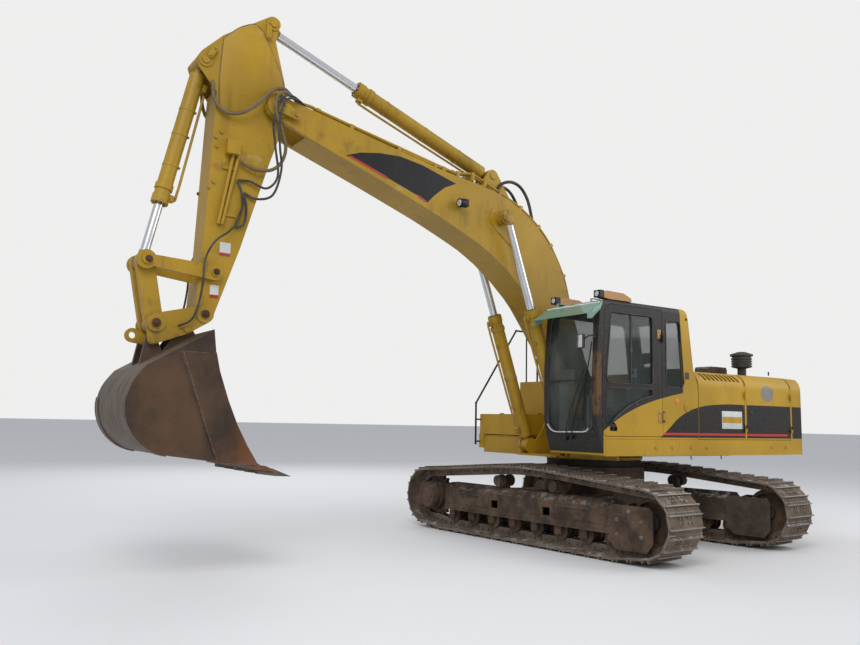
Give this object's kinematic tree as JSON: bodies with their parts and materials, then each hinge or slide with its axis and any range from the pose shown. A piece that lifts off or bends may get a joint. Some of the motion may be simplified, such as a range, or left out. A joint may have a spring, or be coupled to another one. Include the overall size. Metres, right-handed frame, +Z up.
{
  "type": "crawler excavator",
  "caption": "Yellow crawler excavator with cab, counterweight, boom, stick, linked bucket and two tracks; house, arm, cylinders, doors and hood move.",
  "frame": {"origin": "on the ground under the middle of the whole machine, as it stands parked", "axes": "+X towards the bucket, +Y towards the cab side, +Z up; millimetres in the source, metres here"},
  "size_m": [9.4846, 4.893, 5.937],
  "materials": {
    "body_paint": "satin, weathered",
    "arm_paint": "worn, scratched",
    "black_paint": "satin",
    "track_steel": "dirty",
    "worn_steel": "rusty",
    "rod_chrome": "polished",
    "window_glass": "clear",
    "visor_plastic": "smooth",
    "trim_plastic": "grained",
    "seat_fabric": "woven",
    "engine_paint": "dull"
  },
  "bodies": {
    "undercarriage": {"car_body": "track_steel", "swing_bearing": "track_steel", "track_frame_left": "track_steel", "track_frame_right": "track_steel", "track_left": "track_steel", "track_right": "track_steel", "sprocket_left": "track_steel", "sprocket_right": "track_steel", "idler_left": "track_steel", "idler_right": "track_steel", "rollers_left": "track_steel", "rollers_right": "track_steel"},
    "upper": {"platform": "body_paint", "counterweight": "body_paint", "cab_shell": "black_paint", "cab_glass": "window_glass", "cab_seat": "seat_fabric", "cab_controls": "trim_plastic", "sun_visor": "visor_plastic", "engine_block": "engine_paint", "radiator": "engine_paint", "house_panels": "body_paint", "valve_block": "body_paint", "fuel_tank": "body_paint", "toolbox": "body_paint", "handrails": "black_paint", "side_mirror": "trim_plastic", "work_lights": "body_paint"},
    "cab_door": {"cab_door": "black_paint", "cab_door_glass": "window_glass"},
    "hood": {"hood": "body_paint", "precleaner": "trim_plastic", "muffler": "black_paint"},
    "side_door_front": {"side_door_front": "body_paint"},
    "side_door_rear": {"side_door_rear": "body_paint"},
    "pump_door": {"pump_door": "body_paint"},
    "toolbox_lid": {"toolbox_lid": "body_paint"},
    "boom": {"boom": "arm_paint", "boom_lines": "arm_paint"},
    "boom_cylinder_barrels": {"boom_cylinder_barrels": "arm_paint"},
    "boom_cylinder_rods": {"boom_cylinder_rods": "rod_chrome"},
    "stick": {"stick": "arm_paint", "stick_lines": "arm_paint"},
    "stick_cylinder_barrel": {"stick_cylinder_barrel": "arm_paint"},
    "stick_cylinder_rod": {"stick_cylinder_rod": "rod_chrome"},
    "bucket_cylinder_barrel": {"bucket_cylinder_barrel": "arm_paint"},
    "bucket_cylinder_rod": {"bucket_cylinder_rod": "rod_chrome"},
    "side_links": {"side_links": "arm_paint"},
    "connecting_link": {"connecting_link": "arm_paint"},
    "bucket": {"coupler": "arm_paint", "bucket": "worn_steel", "bucket_teeth": "worn_steel"}
  },
  "joints": [
    {"name": "swing", "type": "hinge", "parent": "undercarriage", "child": "upper", "pos_m": [-1.6925, 0, 1.055], "axis": [0, 0, 1], "continuous": true},
    {"name": "boom_hinge", "type": "hinge", "parent": "upper", "child": "boom", "pos_m": [-1.4125, 0, 1.815], "axis": [0, -1, 0], "range_deg": [-70, 28]},
    {"name": "stick_hinge", "type": "hinge", "parent": "boom", "child": "stick", "pos_m": [3.2475, 0, 4.89], "axis": [0, -1, 0], "range_deg": [-46, 66]},
    {"name": "bucket_hinge", "type": "hinge", "parent": "stick", "child": "bucket", "pos_m": [3.9195, 0, 2.545], "axis": [0, 1, 0], "range_deg": [-55, 85]},
    {"name": "boom_barrel_hinge", "type": "hinge", "parent": "upper", "child": "boom_cylinder_barrels", "pos_m": [-0.8325, 0, 1.225], "axis": [0, -1, 0], "range_deg": [-70.33, 28.13]},
    {"name": "boom_rod_slide", "type": "slide", "parent": "boom_cylinder_barrels", "child": "boom_cylinder_rods", "axis": [0.3294, 0, 0.9442], "range_m": [-0.9206, 0.3688]},
    {"name": "stick_barrel_hinge", "type": "hinge", "parent": "boom", "child": "stick_cylinder_barrel", "pos_m": [0.1975, 0, 4.71], "axis": [0, -1, 0], "range_deg": [-1.68, 2.41]},
    {"name": "stick_rod_slide", "type": "slide", "parent": "stick_cylinder_barrel", "child": "stick_cylinder_rod", "axis": [0.9391, 0, 0.3437], "range_m": [-0.9507, 0.6629]},
    {"name": "bucket_barrel_hinge", "type": "hinge", "parent": "stick", "child": "bucket_cylinder_barrel", "pos_m": [4.0425, 0, 5.24], "axis": [0, 1, 0], "range_deg": [-1.03, 1.58]},
    {"name": "bucket_rod_slide", "type": "slide", "parent": "bucket_cylinder_barrel", "child": "bucket_cylinder_rod", "axis": [0.2132, 0, -0.977], "range_m": [-0.403, 0.6223]},
    {"name": "side_links_hinge", "type": "hinge", "parent": "stick", "child": "side_links", "pos_m": [3.8375, 0, 2.98], "axis": [0, 1, 0], "range_deg": [-37.92, 58.61]},
    {"name": "connecting_link_hinge", "type": "hinge", "parent": "bucket", "child": "connecting_link", "pos_m": [4.3975, 0, 2.42], "axis": [0, 1, 0], "range_deg": [-55.96, 36.21]},
    {"name": "cab_door_hinge", "type": "hinge", "parent": "upper", "child": "cab_door", "pos_m": [-1.4745, 1.4415, 2.1], "axis": [0, 0, 1], "range_deg": [0, 165]},
    {"name": "hood_hinge", "type": "hinge", "parent": "upper", "child": "hood", "pos_m": [-2.1855, 0, 2.2515], "axis": [0, 1, 0], "range_deg": [0, 55]},
    {"name": "side_door_front_hinge", "type": "hinge", "parent": "upper", "child": "side_door_front", "pos_m": [-3.0975, 1.4415, 1.7], "axis": [0, 0, 1], "range_deg": [0, 105]},
    {"name": "side_door_rear_hinge", "type": "hinge", "parent": "upper", "child": "side_door_rear", "pos_m": [-4.1255, 1.4415, 1.7], "axis": [0, 0, 1], "range_deg": [0, 105]},
    {"name": "pump_door_hinge", "type": "hinge", "parent": "upper", "child": "pump_door", "pos_m": [-3.1405, -1.4365, 1.7], "axis": [0, 0, -1], "range_deg": [0, 105]},
    {"name": "toolbox_lid_hinge", "type": "hinge", "parent": "upper", "child": "toolbox_lid", "pos_m": [-1.1625, -0.503, 1.6565], "axis": [-1, 0, 0], "range_deg": [0, 85]}
  ],
  "couplings": [
    {"joint": "boom_barrel_hinge", "follows": "boom_hinge", "ratio": 0.9948},
    {"joint": "boom_rod_slide", "follows": "boom_hinge", "m_per_rad": 0.74526},
    {"joint": "stick_barrel_hinge", "follows": "stick_hinge", "ratio": 0.0362},
    {"joint": "stick_rod_slide", "follows": "stick_hinge", "m_per_rad": -0.81631},
    {"joint": "bucket_barrel_hinge", "follows": "bucket_hinge", "ratio": 0.01844},
    {"joint": "bucket_rod_slide", "follows": "bucket_hinge", "m_per_rad": 0.41465},
    {"joint": "side_links_hinge", "follows": "bucket_hinge", "ratio": 0.68265},
    {"joint": "connecting_link_hinge", "follows": "bucket_hinge", "ratio": -0.65187}
  ]
}
